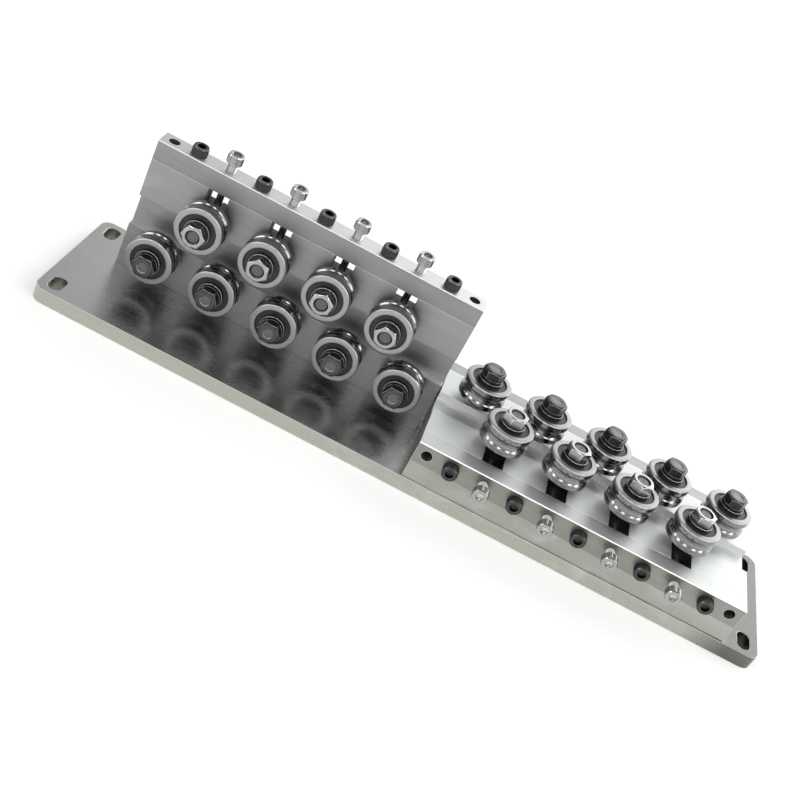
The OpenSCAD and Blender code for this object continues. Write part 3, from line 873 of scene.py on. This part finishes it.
def nut():
    """A hex nut. Its corners are turned off at both ends. Its bore is countersunk, and painted shade
    darkens it.
    """
    bore_margin = 0.1
    top_edge = turned_off(hex_af, nut_h, nut_flat_r)
    bottom_edge = lambda turn: nut_h - top_edge(turn)
    loops = [(axle_r + countersink, 0), (nut_flat_r, 0), (hexagon(hex_af), bottom_edge),
             (hexagon(hex_af), top_edge), (nut_flat_r, nut_h), (axle_r + countersink, nut_h),
             (axle_r, nut_h - countersink), (axle_r, countersink)]
    bm = skinned(hex_segments, loops, capped=False)
    break_edges(bm, head_edge, chosen=hex_edges(bm, 2, 3))
    recess = bm.faces.layers.float.new("recess")
    wear_and_light = bm.faces.layers.float["wear_and_light"]
    for face in bm.faces:
        # Painted shade: faces in the bore are marked for darkening.
        if face.calc_center_median().xy.length < axle_r + countersink - bore_margin:
            face[recess] = 1
        elif face.normal.z > facing_up:
            face[wear_and_light] = end_rub
    return bm


def stud_steel_material():
    """Dark steel with the rings that turning leaves."""
    dark = (0.11, 0.11, 0.11)
    pale = (0.15, 0.15, 0.15)
    roughness = 0.34
    smoother = 0.04
    rougher = 0.06
    ring_height = 0.000003
    material, tree, surface, _ = start_material("stud_steel", 1.0, roughness)
    rings = use_group(tree, turning_marks, own_place(tree))
    tree.links.new(tint(tree, rings["Bands"], dark, pale), surface.inputs["Base Color"])
    tree.links.new(between(tree, rings["Bands"], 0, 1, roughness - smoother, roughness + rougher),
                   surface.inputs["Roughness"])
    bumped(tree, surface, rings["Height"], ring_height)
    return material


stud_steel = stud_steel_material()
zinc_plate = bright_steel("zinc_plate", (0.28, 0.28, 0.28), (0.85, 0.85, 0.85), 0.2, 0.000002)
stud_shapes = stud()
inner_ring_shape = inner_ring()
stud_washer_shape = shifted(washer(), half_w + nut_gap)
nut_shape = shifted(nut(), half_w + 2 * nut_gap + washer_t)
for pattern, turn in zip(adjustable, nut_turns):
    place = standing_at(*axis_of[pattern.format("adjust_roller")])
    body = pattern.format("block")
    node = pattern.format("stud_and_nut")
    finish_piece(gathered(stud_shapes, place), pattern.format("shouldered_stud"), body, "zinc_plate",
                 [stud_steel], node)
    finish_piece(gathered([inner_ring_shape], place), pattern.format("stud_inner_ring"), body,
                 "roller_steel", [ring_face_steel], node)
    finish_piece(gathered([stud_washer_shape], place), pattern.format("stud_washer"), body, "black_oxide",
                 [black_oxide], node)
    tightened = place @ Matrix.Rotation(math.radians(turn), 4, "Z")
    finish_piece(gathered([nut_shape], tightened), pattern.format("zinc_nut"), body, "zinc_plate",
                 [zinc_plate], node)


# Adjusting screws: bright zinc-plated socket-head screws with knurled heads. The thread runs in the bar,
# and below it a plain spigot, a neck and a button hang in the sliding block's T-slot.
head_r = 5
head_h = 6
foot_inset = 0.35
foot_h = 0.3
band_inset = 0.1
band_below_top = 0.7
knurl_count = 36
knurl_depth = 0.22
knurl_from = 0.55
knurl_below_top = 0.9
top_inset = 0.5
socket_af = 5
socket_depth = 3
socket_lead = 0.25
drill_r = 0.4
drill_depth = 0.5
rubbed_below_top = 0.8
top_rub = 0.08
rim_rub = 0.25
zinc_painted_light = 0.6
socket_light_reach = 0.3
socket_light_margin = 0.1
screw_r = 3
screw_pitch = 1
head_above_axle = 37.7
thread_above_axle = 18.9
block_half_h = 7.5
spigot_r = 2.3
neck_r = 1.5
lip_t = 1.3
button_t = 2
button_edge = 0.1
screw_fit = 0.05


def socket_head(socket_painted_light):
    """A round head from z = 0 up: knurled side, chamfered top and a hex socket with a drilled bottom.
    Inside, painted light brightens the socket as far as the given share says, except in its corners."""
    knurl = lambda turn: head_r - knurl_depth * (round(turn / math.pi * knurl_count) % 2)
    socket_r = socket_af / 2
    socket_corner_r = socket_r / math.cos(math.pi / 6)
    socket_floor = head_h - socket_depth
    loops = [(head_r - foot_inset, 0), (head_r - band_inset, foot_h), (knurl, knurl_from),
             (knurl, head_h - knurl_below_top), (head_r - band_inset, head_h - band_below_top),
             (head_r - top_inset, head_h), (socket_corner_r + socket_lead, head_h),
             (hexagon(socket_af), head_h - socket_lead), (hexagon(socket_af), socket_floor),
             (drill_r, socket_floor - drill_depth)]
    bm = skinned(2 * knurl_count, loops)
    wear_and_light = bm.faces.layers.float.new("wear_and_light")
    socket_light_from = socket_floor - drill_depth - socket_light_margin
    for face in bm.faces:
        middle = face.calc_center_median()
        if middle.z > head_h - rubbed_below_top and middle.xy.length > socket_r:
            face[wear_and_light] = top_rub if face.normal.z > 0.9 else rim_rub
        # Painted light inside the socket.
        elif middle.xy.length < socket_r + socket_light_reach and middle.z > socket_light_from:
            face[wear_and_light] = socket_painted_light
    return bm


spigot_bottom = block_half_h + screw_fit
button_bottom = block_half_h - lip_t - button_t - screw_fit
lower_end = turned([(0, button_bottom), (spigot_r, button_bottom), (spigot_r, button_bottom + button_t),
                    (neck_r, button_bottom + button_t), (neck_r, spigot_bottom), (spigot_r, spigot_bottom),
                    (spigot_r, thread_above_axle), (0, thread_above_axle)], axle_segments, closed=False)
break_edges(lower_end, button_edge)
shank_thread = thread(screw_r, screw_pitch, thread_above_axle, head_above_axle)
# Painted light: the thread, and the spigot, neck and button below it, are tinted towards the bright edge
# colour.
for part in (shank_thread, lower_end):
    wear_and_light = part.faces.layers.float.get("wear_and_light") or part.faces.layers.float.new("wear_and_light")
    for face in part.faces:
        face[wear_and_light] = zinc_painted_light
screw_shapes = [shifted(socket_head(zinc_painted_light), head_above_axle), shank_thread, lower_end]
for pattern in adjustable:
    screw = pattern.format("adjusting_screw")
    place = standing_at(*axis_of[screw])
    finish_piece(gathered(screw_shapes, place), screw + "_knurled", screw, "zinc_plate", [zinc_plate],
                 screw)


# Bar screws: black socket-head screws that pull each bar onto the edge of its plate, five a bar. They are
# the same size as the adjusting screws, and sit with their heads on the bar.
bar_h = 13
bar_screw_grip = 15
bar_screw_r = 2.98
bar_screw_count = 5
bar_screw_shapes = [socket_head(socket_painted_light=0),
                    thread(bar_screw_r, screw_pitch, -bar_h - bar_screw_grip, 0)]
bar_screw_places = []
for unit in ("upright", "flat"):
    beside, out = axis_of[f"{unit}_adjusting_screw_1"]
    bar_face = max(corner.dot(out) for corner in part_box(f"{unit}_adjusting_bar"))
    for i in range(1, bar_screw_count + 1):
        foot = beside + out * (bar_face - beside.dot(out))
        foot.x = axis_of[f"{unit}_fixed_roller_{i}"][0].x
        bar_screw_places.append(standing_at(foot, out))
finish_piece(gathered(bar_screw_shapes, *bar_screw_places), "black_cap_screws", "frame", "black_oxide",
             [black_oxide], "bar_screws")


# Floor, lamps and surroundings: a plain white floor, five tall soft panels on an arc in front, a dim
# ceiling, and a room that is brightest behind on the right. The camera and low reflections see white past
# the floor.
def floor_material():
    """White, and seen as plain white where it is far off. Near by it keeps the shadows."""
    near = 0.3
    far = 0.8
    near_glow = 0.1
    far_glow = 0.9
    material, tree, surface, place = start_material("white_floor", 0.0, 0.9)
    surface.inputs["Base Color"].default_value = (0.9, 0.9, 0.89, 1)
    surface.inputs["Specular IOR Level"].default_value = 0
    rays = tree.nodes.new("ShaderNodeLightPath")
    seen = arithmetic(tree, "MAXIMUM", rays.outputs["Is Camera Ray"],
                      arithmetic(tree, "MAXIMUM", rays.outputs["Is Glossy Ray"],
                                 rays.outputs["Is Transmission Ray"]))
    off = tree.nodes.new("ShaderNodeVectorMath")
    off.operation = "LENGTH"
    tree.links.new(place, off.inputs[0])
    glow = between(tree, off.outputs["Value"], near, far, near_glow, far_glow)
    surface.inputs["Emission Color"].default_value = (1, 1, 1, 1)
    tree.links.new(arithmetic(tree, "MULTIPLY", seen, glow), surface.inputs["Emission Strength"])
    return material


floor_half = 4
floor_gap = 0.0002
bm = bmesh.new()
bmesh.ops.create_grid(bm, x_segments=1, y_segments=1, size=floor_half)
bmesh.ops.translate(bm, vec=(0, 0, -floor_gap), verts=bm.verts)
floor_mesh = bpy.data.meshes.new("floor")
bm.to_mesh(floor_mesh)
bm.free()
floor_mesh.materials.append(floor_material())
floor = bpy.data.objects.new("floor", floor_mesh)
scene.collection.objects.link(floor)

panel_width = 0.42
panel_length = 1.1
panel_distance = 2.2
panel_power = 7
panel_directions = [(-0.84, -0.22, 0.49), (-0.5, -0.45, 0.74), (0, -0.55, 0.83), (0.5, -0.45, 0.74),
                    (0.84, -0.22, 0.49)]
for i, direction in enumerate(panel_directions, 1):
    panel_data = bpy.data.lights.new(f"panel_{i}", "AREA")
    panel_data.shape = "RECTANGLE"
    panel_data.size = panel_width
    panel_data.size_y = panel_length
    panel_data.energy = panel_power
    panel = bpy.data.objects.new(f"panel_{i}", panel_data)
    panel.location = Vector(direction).normalized() * panel_distance
    panel.rotation_euler = Vector(direction).to_track_quat("Z", "Y").to_euler()
    scene.collection.objects.link(panel)

room_light = 0.93
dimmest = 0.3
brightest = 3.3
back_light = 0.7
back_light_to_right = 3.9
ceiling_light = 0.25
ceiling_heights = (0.55, 0.85)
white_heights = (0.02, 0.12)
world = bpy.data.worlds.new("surroundings")
scene.world = world
world.use_nodes = True
sky = world.node_tree
rays = sky.nodes.new("ShaderNodeLightPath")
directions = sky.nodes.new("ShaderNodeTexCoord")
parts = sky.nodes.new("ShaderNodeSeparateXYZ")
sky.links.new(directions.outputs["Generated"], parts.inputs[0])
to_right = arithmetic(sky, "MULTIPLY", parts.outputs["X"], back_light_to_right)
behind = arithmetic(sky, "MULTIPLY", arithmetic(sky, "ADD", to_right, back_light),
                    between(sky, parts.outputs["Y"], 0, 1))
level = arithmetic(sky, "ADD", behind, room_light)
ceiling = between(sky, parts.outputs["Z"], *ceiling_heights, 1, ceiling_light)
held = arithmetic(sky, "MULTIPLY", between(sky, level, dimmest, brightest, dimmest, brightest), ceiling)
reflected = arithmetic(sky, "MAXIMUM", rays.outputs["Is Glossy Ray"], rays.outputs["Is Transmission Ray"])
near_floor = between(sky, parts.outputs["Z"], *white_heights, 1, 0)
white = arithmetic(sky, "MAXIMUM", rays.outputs["Is Camera Ray"],
                   arithmetic(sky, "MULTIPLY", reflected, near_floor))
mixed = sky.nodes.new("ShaderNodeMix")
sky.links.new(white, mixed.inputs["Factor"])
sky.links.new(held, mixed.inputs[2])
mixed.inputs[3].default_value = 1
sky.links.new(mixed.outputs[0], sky.nodes["Background"].inputs["Strength"])
sky.nodes["Background"].inputs["Color"].default_value = (1, 1, 1, 1)
